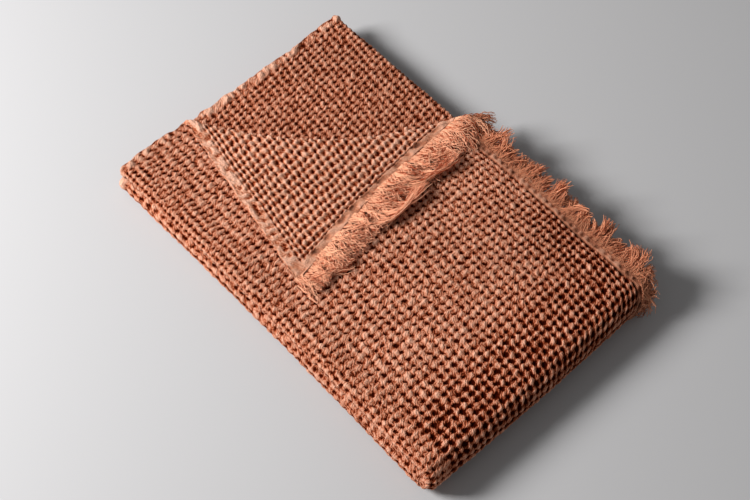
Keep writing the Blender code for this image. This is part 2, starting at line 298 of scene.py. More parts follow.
def cloth_point(across, along, offset):
    """Places of points of the cloth: across from hem to hem, along from fringe to fringe."""
    across, along, offset = np.broadcast_arrays(across, along, offset)
    y, level = rolled_place(along, offset)
    y_middle, level_middle = rolled_place(along, np.zeros(along.shape))
    opening = TURN_OPENING * smooth_step(1.0 - (TURN_CENTRE_X - across) / TURN_REACH)
    base = BUNDLE_TOP + 2.0 * opening
    on_top = turn_corner(across, y_middle, base + level_middle, offset)
    angle = np.clip((across - TURN_CENTRE_X) / HALF_TURN, 0.0, 1.0) * math.pi
    upper, lower = across <= TURN_CENTRE_X, across > LOWER_FROM
    top = upper & (along <= TOP_RUN)
    x = np.where(upper, across, np.where(lower, CLOTH_WIDTH - across,
                                         TURN_CENTRE_X + (TURN_OPENING + level) * np.sin(angle)))
    z = np.where(upper, base + level, np.where(lower, BUNDLE_TOP - level,
                 BUNDLE_TOP + TURN_OPENING + (TURN_OPENING + level) * np.cos(angle)))
    x, y, z = (np.where(top, turned, straight) for turned, straight in zip(on_top, (x, y, z)))
    turned = smooth_step(angle / math.pi)
    retreat = np.where(along > TOP_RUN, 0.0, 1.0 - along / TOP_RUN) * (FLOOR_EDGE_Y - TOP_EDGE_Y)
    y = y + turned * (retreat + LOWER_SHIFT)
    x, y, z = uneven(x, y, z)
    return np.stack([x - CENTRE_X, y - CENTRE_Y, z], axis=-1)


corner_now = cloth_point(np.array([0.0]), np.array([0.0]), np.array([0.0]))[0]
print("the corner's tip now lies at", corner_now.round(3))

# %% [markdown]
# ## The weave's cells
#
# A waffle weave lifts its yarn in floats that draw up into cells when the cloth is washed.
# On the face each cell shows a slanted knot like a grain of barley, with a small dark pit
# between knots.  On the reverse the knots are smaller and sit on ropes of yarn, and the
# pits are wider.  The cells are about 10 x 12 mm, and no two are quite alike: a noise
# bends their lines, and each knot has its own small error from a seeded table.

# %% Noise for uneven yarn
KNOT_ERRORS = np.random.RandomState(21).uniform(-1.0, 1.0, (5, 101, 97))


def yarn_noise(a, b, layer):
    """Smooth noise from -1 to 1 with one bump to a unit of a and b."""
    table = KNOT_ERRORS[layer]
    i, j = np.floor(a).astype(int), np.floor(b).astype(int)
    share_a, share_b = smooth_step(a - i), smooth_step(b - j)
    low = table[i % 101, j % 97] * (1 - share_a) + table[(i + 1) % 101, j % 97] * share_a
    high = (table[i % 101, (j + 1) % 97] * (1 - share_a)
            + table[(i + 1) % 101, (j + 1) % 97] * share_a)
    return low * (1 - share_b) + high * share_b


def bent(a, b):
    """Cell numbers bent by the pull of uneven yarn."""
    return (a + 0.15 * yarn_noise(0.8 * a, 0.8 * b, 0) + 0.08 * yarn_noise(2.1 * a, 2.1 * b + 7, 1),
            b + 0.15 * yarn_noise(0.8 * a + 31, 0.8 * b, 1) + 0.08 * yarn_noise(2.1 * a, 2.1 * b, 2))


print("noise spans", [round(float(edge), 2) for edge in (KNOT_ERRORS.min(), KNOT_ERRORS.max())])

# %% [markdown]
# ## The relief of a cell
#
# The relief is a height, about 0 in a pit and 1 on a knot, for any place counted in cells.
# It is put together from domes for the knots, lines where the yarns cross and soft holes
# for the pits.  It goes into the mesh and not into bump, because real knots shade one
# another and make the outline of a fold uneven.

# %% Height of the weave in a cell
RELIEF = 0.0042


def wave(turns):
    """A wave from 0 to 1 that is highest at every whole turn."""
    return 0.5 + 0.5 * np.cos(2 * math.pi * turns)


def crossing_lines(a, b, width, saddle):
    """1 where lines of the net cross, saddle on the lines between, 0 in the pits."""
    line_a, line_b = wave(a) ** width, wave(b) ** width
    either = 1.0 - (1.0 - line_a) * (1.0 - line_b)
    return saddle * either + (1.0 - saddle) * line_a * line_b


def slanted_knots(a, b):
    """1 on top of each slanted knot, falling off round it."""
    best = np.zeros(a.shape)
    for step_a in (0, 1):
        for step_b in (0, 1):
            i = np.floor(a).astype(int) + step_a
            j = np.floor(b).astype(int) + step_b
            error = KNOT_ERRORS[:, i % 101, j % 97]
            from_a = a - i - 0.10 * error[0]
            from_b = b - j - 0.10 * error[1]
            turn = 0.80 + 0.30 * error[4]
            long_way = (from_a * np.cos(turn) - from_b * np.sin(turn)) / (0.63 + 0.08 * error[3])
            cross_way = (from_a * np.sin(turn) + from_b * np.cos(turn)) / (0.49 + 0.05 * error[2])
            dome = np.maximum(1.0 - long_way ** 2 - cross_way ** 2, 0.0) ** 0.85
            best = np.maximum(best, dome * (0.90 + 0.10 * error[2]))
    return best


def open_pits(a, b, one_way, other_way):
    """1 in the middle of each pit between four knots, 0 outside it; each has its own depth.

    A pit reaches one_way along the knots and other_way across them.
    """
    i, j = np.floor(a).astype(int), np.floor(b).astype(int)
    error = KNOT_ERRORS[:, (i + 50) % 101, (j + 50) % 97]
    from_a = a - i - 0.5 - 0.07 * error[0]
    from_b = b - j - 0.5 - 0.07 * error[1]
    spread = ((from_a - from_b) / one_way) ** 2 + ((from_a + from_b) / other_way) ** 2
    steep = smooth_step(1.5 * np.exp(-spread / (1.0 + 0.25 * error[3]) ** 2))
    return steep * (0.86 + 0.14 * error[4])


def face_height(a, b, openness):
    """The face side, 0 to 1; openness parts the knots, with dark gaps between them."""
    a, b = bent(a, b)
    grain = 0.15 * yarn_noise(2.9 * a, 2.9 * b, 3) + 0.09 * yarn_noise(5.1 * a, 5.1 * b, 4)
    knots = slanted_knots(a, b)
    closed = np.maximum(knots, 0.60) * (1.0 - open_pits(a, b, 0.19, 0.29)) + 0.04 * knots
    closed = np.minimum(closed, 0.36 + 0.72 * knots + 0.20 * crossing_lines(a, b, 1.0, 0.6))
    parted = np.maximum(0.95 * knots ** 0.8, 0.76 * crossing_lines(a, b, 0.8, 0.85))
    parted = parted * (1.0 - 0.95 * open_pits(a, b, 0.26, 0.36))
    height = closed * (1.0 - openness) + parted * openness
    return np.clip(height + grain * (0.30 + 0.70 * height), 0.0, 1.15)


def reverse_height(a, b):
    """The reverse side, 0 to 1: small knots on ropes of yarn, with wider pits between."""
    a, b = bent(a, b)
    grain = 0.20 * yarn_noise(2.9 * a, 2.9 * b, 3) + 0.12 * yarn_noise(5.1 * a, 5.1 * b, 4)
    net = np.maximum(crossing_lines(a, b, 1.1, 0.56), 0.50 + 0.07 * np.cos(2 * math.pi * a))
    rope = 0.74 * wave(b + 0.10 * np.sin(2 * math.pi * a)) ** 0.8
    net = np.maximum(net, rope)
    height = net * (1.0 - 0.85 * open_pits(a, b, 0.21, 0.34)) + 0.25 * crossing_lines(a, b, 1.0, 0.0)
    return np.clip(1.02 * (height + grain * (0.3 + 0.7 * net)), 0.0, 1.15)


print(f"knots stand {RELIEF * 1000:.1f} mm over the pits")

# %% [markdown]
# ## Cell numbers on each part
#
# The cells stretch from the hem towards the turned end, lean a few degrees, and curve where
# the edge droops.  Beside a hem or a plain band they are drawn narrow.  These helpers
# number the cells at a flat place, so that the relief follows the cloth's own threads.

# %% Cell numbers
PLAIN_BAND, CORNER_BAND, CORNER_HEM = 0.0130, 0.0240, 0.0175
TURN_RADIUS = TURN_OPENING + 3.5 * PITCH + CLOTH / 2
ROLL_STRETCH = 1.0 + CLOTH / (3.0 * PITCH)
# cell steps on the corner along its fringed edge and along its hem, in metres of the stack
CORNER_STEPS = ((-0.0006, 0.0097), (-0.0115, 0.0022))
CORNER_CELL, SECOND_CELL = (0.0097, 0.0117), (0.0087, 0.0113)


def outer_across(across):
    """Length across measured on the outer face, which is longer round the turned end."""
    bent_part = np.clip((across - TURN_CENTRE_X) / HALF_TURN, 0.0, 1.0)
    return across + bent_part * (math.pi * TURN_RADIUS - HALF_TURN)


def drawn_in(distance, reach):
    """Extra cells beside an edge, where the weave is drawn narrow."""
    return 0.85 * reach * (1.0 - np.exp(-np.maximum(distance, 0.0) / reach))


def face_cells(across, along):
    """Cell numbers on the face side of the top layer and over the turned end."""
    x = outer_across(across)
    y = TOP_EDGE_Y - along - (ROLL_STRETCH - 1.0) * np.maximum(along - TOP_RUN, 0.0)
    lean = 0.090 * (y - 0.2) * smooth_step((0.60 - x) / 0.20) + 0.0015 * np.sin(9.0 * y + 6.0 * x)
    a = np.log(1.0 + 0.76 * (x - lean + 0.03)) / 0.0060
    droop = 1.0 * np.clip(x - 0.48, 0.0, 0.17) ** 2 * smooth_step(y / 0.35)
    crowd = drawn_in(along - PLAIN_BAND, 0.010)
    b = -np.log(1.0 - 0.67 * (y + droop - crowd + 0.0020 * np.sin(13.0 * x + 8.0 * y))) / 0.00951
    return a, b


def second_cells(across, along):
    """Cell numbers on the second layer, which lies a little less stretched."""
    y = 0.4 - (along - STARTS[4])
    return ((outer_across(across) + 0.09 * (y - 0.3)) / SECOND_CELL[0],
            (y + 0.115 * across + 0.0015 * np.sin(17.0 * across)) / SECOND_CELL[1])


def corner_cells(across, along):
    """Cell numbers on the turned-back corner, counted from its tip."""
    _, _, _, way, out = laid_corner(across, TOP_EDGE_Y - along)
    x = FOLD_FROM[0] + way * FOLD_WAY[0] + out * FOLD_OUT[0] - FOLD_TIP[0]
    y = FOLD_FROM[1] + way * FOLD_WAY[1] + out * FOLD_OUT[1] - FOLD_TIP[1]
    (ax, ay), (bx, by) = CORNER_STEPS
    scale = ax * by - ay * bx
    return ((x * by - y * bx) / scale + drawn_in(across - CORNER_HEM, 0.010) / CORNER_CELL[0],
            (y * ax - x * ay) / scale + drawn_in(along - CORNER_BAND, 0.008) / CORNER_CELL[1])


a_end, _ = face_cells(np.array([STACK_LENGTH]), np.array([0.0]))
print(f"about {a_end[0]:.0f} cells along the stack")

# %% [markdown]
# ## Hem and fringed edge
#
# The long sides are turned under and stitched, so the hem is a narrow band with a lumpy,
# puckered ridge of gathered cells beside it.  Before the fringe the weave is plain for one
# to two and a half centimetres: a band that puckers where the waffle pulls on it.

# %% Edges of the weave
HEM_FOLD = 0.0010           # the flat outer part of a narrow hem, before its ridge
HEM_PUCKER = 0.0155         # from one pucker of a hem to the next


def hem_height(from_hem, along, band):
    """Height over the hem, 0 to 1: a full round edge, with uneven puffs gathered beside it."""
    pucker = wave(along / HEM_PUCKER + 1.2 * yarn_noise(along * 30, along, 0))
    lumps = yarn_noise(along * 78, from_hem * 95 + 11.0, 2)
    ridge_at = band + 0.0060 + 0.0024 * yarn_noise(along * 50, along, 4)
    ridge = np.exp(-((from_hem - ridge_at) / 0.0050) ** 2)
    yarn = (0.30 * yarn_noise(along * 180, from_hem * 170, 3)
            + 0.16 * yarn_noise(along * 400, from_hem * 380, 1))
    puffs = np.maximum(0.62 * (pucker - 0.50) + 0.45 * lumps, -0.28)
    return 0.80 + ridge * puffs + 0.14 * lumps + yarn


def band_height(from_edge, across, band):
    """Height over the plain band, 0 to 1, dimpled where the waffle pulls on it."""
    dimple = wave(across / (0.95 * band) + 0.9 * yarn_noise(across * 28, across, 1))
    pulled = np.exp(-((from_edge - band + 0.0060) / (0.0006 + 0.30 * band)) ** 2)
    gathers = (yarn_noise(across * 115, from_edge * 32, 2)
               + 0.6 * yarn_noise(across * 210, from_edge * 60, 0))
    threads = (0.18 * yarn_noise(across * 290, from_edge * 110, 4)
               + 0.09 * yarn_noise(across * 620, 3.0, 3))
    return 0.88 - 0.65 * pulled * dimple ** 1.3 + 0.36 * gathers + threads


def edged(height, from_hem, across, along, hem=HEM_FOLD, band=PLAIN_BAND, groove_depth=0.25):
    """Blend the weave's height into the hem and, over a groove, into the plain band."""
    wander = 0.0016 * yarn_noise(across * 75, across, 0)
    to_hem = 1.0 - smooth_step((from_hem - hem - 0.0085) / 0.0050)
    to_band = 1.0 - smooth_step((along - band - wander + 0.001) / 0.003)
    height = height * (1.0 - to_band) + band_height(along, across, band) * to_band
    height = height * (1.0 - to_hem) + hem_height(from_hem, along, hem) * to_hem
    groove = np.exp(-((along - band - wander - 0.0014) / 0.0015) ** 2)
    return height - groove_depth * groove * (1.0 - to_hem)


def plain_share(along, band=PLAIN_BAND, share=0.6):
    """How plain the weave is: this share on the plain band, and 0 in the waffle."""
    return share - share * smooth_step((along - band) / 0.002)


print(f"plain band {PLAIN_BAND * 1000:.1f} mm, on the corner {CORNER_BAND * 1000:.1f} mm")

# %% [markdown]
# ## Making a sheet
#
# Each visible stretch of cloth is a grid of points.  At a hem or a fringed edge the grid
# wraps round the cloth's thickness and a little way back underneath, so that the edge is
# round and thick from every side.  Two numbers go with each point: how deep it lies in
# the weave, and how far it is plain band, which the finish reads later.

# %% Sheet helpers
# distance from the edge and side of the cloth, from the reverse (-1) to the face (1)
RIM = ((0.0160, -1.0), (0.0080, -1.0), (0.0030, -1.0), (0.0012, -0.85), (0.0003, -0.45),
       (0.0, 0.0), (0.0003, 0.45), (0.0012, 0.85))


def with_rim(places, low_rim, high_rim=None):
    """Places of grid lines and their side of the cloth, wrapped round one or both ends."""
    lines = [(places[0] + away, side) for away, side in RIM] if low_rim else []
    lines += [(place, 1.0) for place in places[1 if low_rim else 0:]]
    if high_rim:
        lines = lines[:-1] + [(places[-1] - away, side) for away, side in reversed(RIM)]
    return np.array([line[0] for line in lines]), np.array([line[1] for line in lines])


def grid_faces(rows, columns, closed=False):
    """Corner numbers of every face of a grid of points; closed joins its last column to its first."""
    column = np.arange(columns if closed else columns - 1)[None, :]
    first = np.arange(rows - 1)[:, None] * columns
    this, following = (first + column).ravel(), (first + (column + 1) % columns).ravel()
    return np.stack([this, this + columns, following + columns, following], axis=1)


def pairs(first, second):
    """Two arrays of numbers as one list of pairs."""
    return np.stack([first, second], axis=-1).reshape(-1, 2)


def add_mesh(name, points, faces, numbers, flat_places, cells=None):
    """A smooth mesh, nowhere below the floor, with a number or two on each point.

    Its UV maps are the places on the flat cloth and, for a woven sheet, its cells.
    """
    points = np.column_stack([points[:, :2], np.maximum(points[:, 2], 0.0)])
    used = np.unique(faces)
    renumber = np.full(len(points), -1)
    renumber[used] = np.arange(len(used))
    mesh = bpy.data.meshes.new(name)
    mesh.from_pydata(points[used].tolist(), [], renumber[faces].tolist())
    for label, values in numbers.items():
        layer = mesh.attributes.new(label, "FLOAT", "POINT")
        layer.data.foreach_set("value", values[used].astype(np.float32))
    corners = np.zeros(len(mesh.loops), dtype=np.int32)
    mesh.loops.foreach_get("vertex_index", corners)
    for label, places in (("flat_cloth", flat_places), ("cells", cells)):
        if places is not None:
            layer = mesh.uv_layers.new(name=label)
            layer.data.foreach_set("uv", places[used][corners].astype(np.float32).ravel())
    mesh.shade_smooth()
    piece = bpy.data.objects.new(name, mesh)
    bpy.context.scene.collection.objects.link(piece)
    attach(piece, "root")
    print(f"{name}: {2 * len(faces)} triangles")
    return piece


def wandering(across, along):
    """Flat places with the hems and the fringed edges drawn a little in and out."""
    near_hem = np.exp(-across / 0.016) - np.exp(-(CLOTH_WIDTH - across) / 0.016)
    near_edge = np.exp(-along / 0.030)
    return (across + near_hem * (0.0024 * yarn_noise(along * 48, along, 1)
                                 + 0.0017 * yarn_noise(along * 130, along, 2)),
            along + near_edge * (0.0034 * yarn_noise(across * 30, across, 3) + 0.0012))


def add_sheet(name, columns, rows, weave, keep=None, visible_side=1.0):
    """A woven sheet on the stack; weave gives heights 0 to 1, keep says which points stay."""
    across, column_side = columns
    along, row_side = rows
    across, along = np.meshgrid(across, along)
    side = np.minimum(column_side[None, :], row_side[:, None])
    height, band, cells = weave(across, along)
    shown = smooth_step((side - 0.7) / 0.3)
    depth = RELIEF * (1.0 - height) * shown
    offset = visible_side * (side * CLOTH / 2 - depth)
    points = cloth_point(*wandering(across, along), offset).reshape(-1, 3)
    faces = grid_faces(*across.shape)
    if keep:
        faces = faces[keep(across, along).ravel()[faces].all(axis=1)]
    if visible_side < 0:
        faces = faces[:, ::-1]
    # hollow also darkens the colour towards the pits in the finish: painted shade in the weave's
    # hollows.
    hollow = (1.0 - height) * shown + 0.35 * (1.0 - shown)
    numbers = {"hollow": hollow.ravel(), "plain": band.ravel()}
    return add_mesh(name, points, faces, numbers, pairs(across, along), pairs(*cells))


# %% [markdown]
# ## The top layer
#
# This is the largest sheet: the face of the outer layer, from its fringed edge over the
# stack and round the rolled side.  Where the corner is turned back the sheet stops just
# inside the loop.  The cloth is stretched open towards the turned end, so there the pits
# widen.  It is built in three parts, each of which begins on the last line of the one
# before, to keep every mesh light.


# %% Top layer
ROLL_FROM, ROLL_BLEND = 0.366, 0.022     # where the knots turn finer, and over what length


def round_the_roll(height, a, b, across, along):
    """Turn the heights into the finer, crumpled knots of the rolled side."""
    rolled = smooth_step((along - ROLL_FROM) / ROLL_BLEND)
    crumple = 0.09 * np.sin(along * 520.0 + 3.0 * yarn_noise(across * 30.0, along * 50.0, 1))
    finer = 0.90 * face_height(a + 5.0, 1.22 * b, 0.15) + 0.04 + crumple
    return height * (1.0 - rolled) + rolled * finer


def top_weave(across, along):
    """Heights of the top layer, open at the turned end and crumpled on the rolled side."""
    a, b = face_cells(across, along)
    openness = np.maximum(smooth_step((across - 0.50) / 0.11),
                          smooth_step((across - 0.40) / 0.12) * smooth_step((0.10 - along) / 0.08))
    height = face_height(a, b, 0.62 * openness)
    # Towards the turned end the pits are deepened and the knots lowered a little; through hollow this
    # also paints the colour darker there, as painted shade.
    height = 1.0 - (1.0 - height) * (1.0 + 0.22 * openness) - 0.05 * openness
    height = round_the_roll(height, a, b, across, along)
    height = edged(height, across, across, along)
    return height, plain_share(along), (a, b)


def grid_line_places(first, last, step):
    """Even places of grid lines about one step apart."""
    return np.linspace(first, last, round((last - first) / step) + 1)


def on_top(across, along):
    """The top layer's part that isn't turned back."""
    return past_lift(across, TOP_EDGE_Y - along) < 0.002


ROLL_END = STARTS[2] + 0.010
MIDDLE_X = 0.340
top_rows = with_rim(grid_line_places(0.0, ROLL_END, 0.00128), True)
left_columns = with_rim(grid_line_places(0.0, MIDDLE_X, 0.00112), True)
right_columns = with_rim(grid_line_places(MIDDLE_X, TURN_CENTRE_X, 0.00118), False)
end_columns = with_rim(grid_line_places(TURN_CENTRE_X, LOWER_FROM + 0.002, 0.00092), False)
throw_left = add_sheet("throw_left", left_columns, top_rows, top_weave, on_top)
throw_right = add_sheet("throw_right", right_columns, top_rows, top_weave, on_top)
throw_end = add_sheet("throw_end", end_columns, top_rows, top_weave, on_top)

# %% [markdown]
# ## The turned-back corner
#
# The corner shows the cloth's reverse.  It is a sheet of its own here, with cells counted
# from its tip, and its hem and plain band run out along its two edges.


# %% Turned-back corner
def corner_weave(across, along):
    """Heights of the reverse side on the corner."""
    a, b = corner_cells(across, along)
    height = edged(reverse_height(a, b), across, across, along, CORNER_HEM - 0.0100, CORNER_BAND,
                   groove_depth=0.05)
    return height, plain_share(along, CORNER_BAND, 0.45), (a, b)


def corner_shows(across, along):
    """The top layer's part past the line where it lifts."""
    return past_lift(across, TOP_EDGE_Y - along) > -0.003


corner_columns = with_rim(grid_line_places(0.0, 0.285, 0.00125), True)
corner_rows = with_rim(grid_line_places(0.0, 0.310, 0.00135), True)
throw_corner = add_sheet("throw_corner", corner_columns, corner_rows, corner_weave, corner_shows,
                         visible_side=-1.0)

# %% [markdown]
# ## The second layer
#
# Turning the corner back uncovers the face of the second layer, and along the fringed side
# its fold shows under the top layer's edge.


# %% Second layer
def second_weave(across, along):
    """Heights of the second layer."""
    a, b = second_cells(across, along)
    from_hem = np.minimum(across, CLOTH_WIDTH - across)
    # The whole layer is lowered a little: its relief deepens and, through hollow, its colour is
    # painted darker as shade.
    height = edged(face_height(a, b, 0.12) - 0.06, from_hem, across, along)
    return height, 0.0 * along, (a, b)


def second_shows(across, along):
    """The second layer's part under the turned-back corner, and its fold from end to end."""
    y, _ = rolled_place(along, np.zeros(along.shape))
    uncovered = (along > STARTS[4]) & (past_lift(across, y) > -0.014) & (across < 0.30)
    return uncovered | (along < STARTS[4] + 0.014)


second_columns = with_rim(grid_line_places(0.0, CLOTH_WIDTH, 0.00135), True, True)
second_rows = with_rim(grid_line_places(STARTS[3] - 0.012, STARTS[4] + 0.330, 0.00160), False)
throw_second = add_sheet("throw_second", second_columns, second_rows, second_weave, second_shows)

# %% [markdown]
# ## The underside
#
# The lower half of the outer layer: its rolled side shows below the upper one, and the rest
# is the face that the stack lies on.  That flat part has coarser rows, because it is seen
# only when the throw is turned over.


# %% Underside
def under_weave(across, along):
    """Heights of the lower half of the outer layer."""
    a, b = face_cells(across, along)
    height = round_the_roll(face_height(a, b, 0.2), a, b, across, along)
    height = edged(height, CLOTH_WIDTH - across, across, along)
    return height, plain_share(along), (a, b)


under_columns = with_rim(grid_line_places(LOWER_FROM - 0.002, CLOTH_WIDTH, 0.0023), False, True)
under_rows = with_rim(np.concatenate([grid_line_places(0.0, 0.370, 0.0046),
                                      grid_line_places(0.3715, ROLL_END, 0.0015)]), True)
throw_under = add_sheet("throw_under", under_columns, under_rows, under_weave)

# %% [markdown]
# ## The layers inside
#
# The rest of the roll shows only as the ends of its layers at the hemmed side.  One closed
# sheet stands for it, coarse inside and finer at the two hems, and it lies a little lower
# where the second layer's own sheet covers it.


# %% Layers inside
def add_inner_layers(name):
    """Both faces of the hidden layers, wrapped round the two hems."""
    near = np.array([0.0022, 0.0045, 0.007, 0.010, 0.0135, 0.018, 0.026])
    middle = np.concatenate([np.linspace(0.05, TURN_CENTRE_X, 24),
                             np.linspace(TURN_CENTRE_X, LOWER_FROM, 14)[1:-1],
                             np.linspace(LOWER_FROM, CLOTH_WIDTH - 0.05, 24)])
    skin = np.concatenate([near, middle, CLOTH_WIDTH - near[::-1]])
    rim = [(0.0012, 0.8), (0.0003, 0.45), (0.0, 0.0), (0.0003, -0.45), (0.0012, -0.8)]
    across = np.concatenate([skin, [CLOTH_WIDTH - away for away, _ in rim],
                             skin[::-1], [away for away, _ in reversed(rim)]])
    side = np.concatenate([np.ones(len(skin)), [s for _, s in rim],
                           -np.ones(len(skin)), [s for _, s in reversed(rim)]])
    along = np.linspace(STARTS[2] + 0.004, CLOTH_LENGTH, 210)
    across, along = np.meshgrid(across, along)
    side = np.broadcast_to(side, across.shape)
    from_hem = np.minimum(across, CLOTH_WIDTH - across)
    at_hem = 1.0 - smooth_step((from_hem - 0.016) / 0.010)
    puff = RELIEF * 0.6 * (hem_height(from_hem, along, HEM_FOLD) - 0.62) * at_hem
    y, _ = rolled_place(along, np.zeros(along.shape))
    covered = ((along > STARTS[3] - 0.010) & (along < STARTS[4] + 0.012)).astype(float)
    in_second = (along > STARTS[4]) & (along < STARTS[5]) & (across < 0.33)
    covered = np.maximum(covered, in_second * smooth_step((past_lift(across, y) + 0.020) / 0.006))
    offset = side * (CLOTH / 2) + puff * side
    offset = np.where(side > 0, offset * (1 - covered) - 0.0012 * side * covered, offset)
    across = across + covered * np.where(across < CLOTH_WIDTH / 2, 0.0035, -0.0035) * (from_hem < 0.01)
    points = cloth_point(across, along, offset).reshape(-1, 3)
    numbers = {"hollow": np.full(across.size, 0.45), "plain": np.zeros(across.size)}
    upper = np.arange(len(skin) - 1)
    lower = 2 * len(skin) + len(rim) - 1 - upper
    end_cap = np.stack([upper, upper + 1, lower - 1, lower], axis=1)
    last_row = (len(across) - 1) * across.shape[1]
    faces = np.concatenate([grid_faces(*across.shape, closed=True),
                            end_cap, end_cap[:, ::-1] + last_row])
    return add_mesh(name, points, faces, numbers, pairs(across, along))


throw_inner = add_inner_layers("throw_inner")

# %% [markdown]
# ## The fringe
#
# The fringe is the cloth's own yarn: the cross threads are drawn out and what is left
# hangs loose.  Cotton keeps the crimp of the weave, so a strand is wavy, and neighbours
# cling and twist together in tufts.  All strands of one edge are one joined mesh of thin
# three-sided tubes, built as arrays.


# %% Fringe helpers
def grow_yarn(name, paths, radius):
    """One joined mesh of thin three-sided tubes on paths of shape (strands, steps, 3)."""
    strands, steps, _ = paths.shape
    paths = np.concatenate([paths[..., :2], np.maximum(paths[..., 2:], 1.3 * radius)], axis=-1)
    way = np.gradient(paths, axis=1)
    way /= np.linalg.norm(way, axis=2, keepdims=True) + 1e-9
    side = np.cross(way, np.array([0.0, 0.0, 1.0]))
    side /= np.linalg.norm(side, axis=2, keepdims=True) + 1e-9
    top = np.cross(side, way)
    taper = 1.0 - 0.55 * np.linspace(0.0, 1.0, steps) ** 3
    own = np.arange(strands) * 0.618 % 1.0
    reach = radius * (0.75 + 0.5 * own[:, None, None]) * taper[None, :, None]
    ring = [paths + reach * (math.cos(turn) * side + math.sin(turn) * top)
            for turn in (math.pi / 2, math.pi * 7 / 6, math.pi * 11 / 6)]
    points = np.stack(ring, axis=2).reshape(-1, 3)
    first = (np.arange(strands)[:, None, None] * steps + np.arange(steps - 1)[None, :, None]) * 3
    corner = np.arange(3)[None, None, :]
    after = (corner + 1) % 3
    faces = np.stack([first + corner, first + after, first + 3 + after, first + 3 + corner],
                     axis=-1).reshape(-1, 4)
    along_strand = np.broadcast_to(np.linspace(0, 1, steps)[None, :, None], (strands, steps, 3))
    own = np.broadcast_to(own[:, None, None], (strands, steps, 3))
    numbers = {"along_strand": along_strand.ravel(), "strand": own.ravel()}
    print(f"{name}: {strands} strands")
    return add_mesh(name, points, faces, numbers, pairs(own, along_strand))


def tufted_yarn(span, tufts, strands, length, seed, steps=9):
    """Strands gathered in twisted tufts along an edge from span[0] to span[1].

    Gives their places along the edge, distances out from it and heights within the tuft,
    then each tuft's own six numbers and the share of the length run at each step.
    """
    random = np.random.RandomState(seed)
    share = np.linspace(0.0, 1.0, steps)[None, None, :]
    spacing = (span[1] - span[0]) / tufts
    middle = span[0] + (np.arange(tufts) + 0.5 + random.uniform(-0.35, 0.35, tufts)) * spacing
    own = random.uniform(-1.0, 1.0, (6, tufts, 1, 1))
    each = random.uniform(-1.0, 1.0, (6, tufts, strands, 1))
    twist = each[0] * math.pi + 3.0 * own[0] * share
    reach = np.sqrt(0.5 + 0.5 * each[1])
    gather = smooth_step(share * (2.2 + own[1]))
    waist = 0.0022 + 0.0009 * own[2] + (0.0030 + 0.0022 * own[3]) * share ** 2
    wide = spacing * 0.80 * (1.0 - gather) + waist * gather
    run = length * (1.0 + 0.22 * own[4]) * (0.90 + 0.12 * each[2])
    out = run * share
    stray = (each[3] * 0.0030 + each[3] ** 5 * 0.0090) * share ** 1.4
    crimp = (0.0011 + 0.0006 * each[4]) * np.sin(out * (520.0 + 200.0 * each[5]) + 9.0 * each[2])
    crimp = crimp * np.minimum(3.0 * share, 1.0)
    at = middle[:, None, None] + reach * np.cos(twist) * wide + stray + crimp
    up = reach * np.sin(twist) * (0.0010 + 0.60 * waist * gather) + 0.6 * crimp + 0.4 * stray
    return at, out, up, own, share


def as_paths(points):
    """Points of tufts and strands as one list of paths."""
    return points.reshape(-1, points.shape[2], 3)


def outer_edge(at, out, up):
    """Points outside the cloth's outer fringed edge."""
    return as_paths(cloth_point(at, -out, up))


# %% [markdown]
# ## Fringe on the turned-back corner
#
# Here the tufts lie on the stack beside the corner in a thick, fluffy row, and their tips
# sweep sideways along it.  Two thinner rows fill in below them, a fan of tufts droops over
# the end of the fold, and a few long bunches trail along the outer ends.


# %% Fringe on the corner
def corner_tufts(span, tufts, strands, length, seed, height, rise):
    """A row of tufts on the corner at this height, that rise and sweep sideways."""
    at, out, up, own, share = tufted_yarn(span, tufts, strands, length, seed, steps=13)
    at = at + out * 0.26 * own[1] + (0.004 + 0.012 * own[2]) * share ** 2.5
    out = out * (1.0 - 0.12 * (1.0 + own[5]) * share ** 2)
    hump = rise * (0.55 + 0.45 * own[3]) * np.sin(math.pi * share) ** 1.5
    at = np.clip(at, -0.006, 0.262)
    return outer_edge(at, out - 0.0030 - 0.0050 * own[0], -(height + hump + up))


def fold_end_tufts(span, tufts, strands, length, seed):
    """Tufts at the end of the fold, that fan out from over its loop and droop."""
    at, out, up, own, share = tufted_yarn(span, tufts, strands, length, seed, steps=13)
    start = at[:, :, :1]
    root = cloth_point(np.clip(start, 0.238, 0.2735), 0.0, -0.0015)
    heading = (math.radians(6.0) + math.radians(62.0) * (start - span[0]) / (span[1] - span[0])
               + 0.22 * own[1])
    heading = heading - 0.35 * share ** 2 * (1.0 + own[5])
    aside = at - start
    rise = 0.0060 * (0.5 + 0.5 * own[3]) * np.sin(math.pi * share ** 0.8) - 0.0085 * share ** 2
    return as_paths(np.stack([root[..., 0] + out * np.cos(heading) - aside * np.sin(heading),
                              root[..., 1] + out * np.sin(heading) + aside * np.cos(heading),
                              root[..., 2] + rise + up], axis=-1))


def trailing_bunches(span, tufts, strands, length, seed):
    """Bunches that run along the outer ends of the other tufts."""
    at, out, up, own, share = tufted_yarn(span, tufts, strands, length, seed, steps=13)
    middle = at[:, :, :1].mean(axis=1, keepdims=True)
    aside = (0.023 + 0.017 * smooth_step(2.2 * share) + 0.003 * own[1]
             + 0.005 * np.sin(2.6 * share + own[2]))
    lift = -0.001 + 0.006 * smooth_step(2.5 * share)
    return outer_edge(middle + out, aside + 0.9 * (at - middle), -(lift + 1.4 * up))


corner_row = (0.001, FOLD_TO[0] - 0.006)
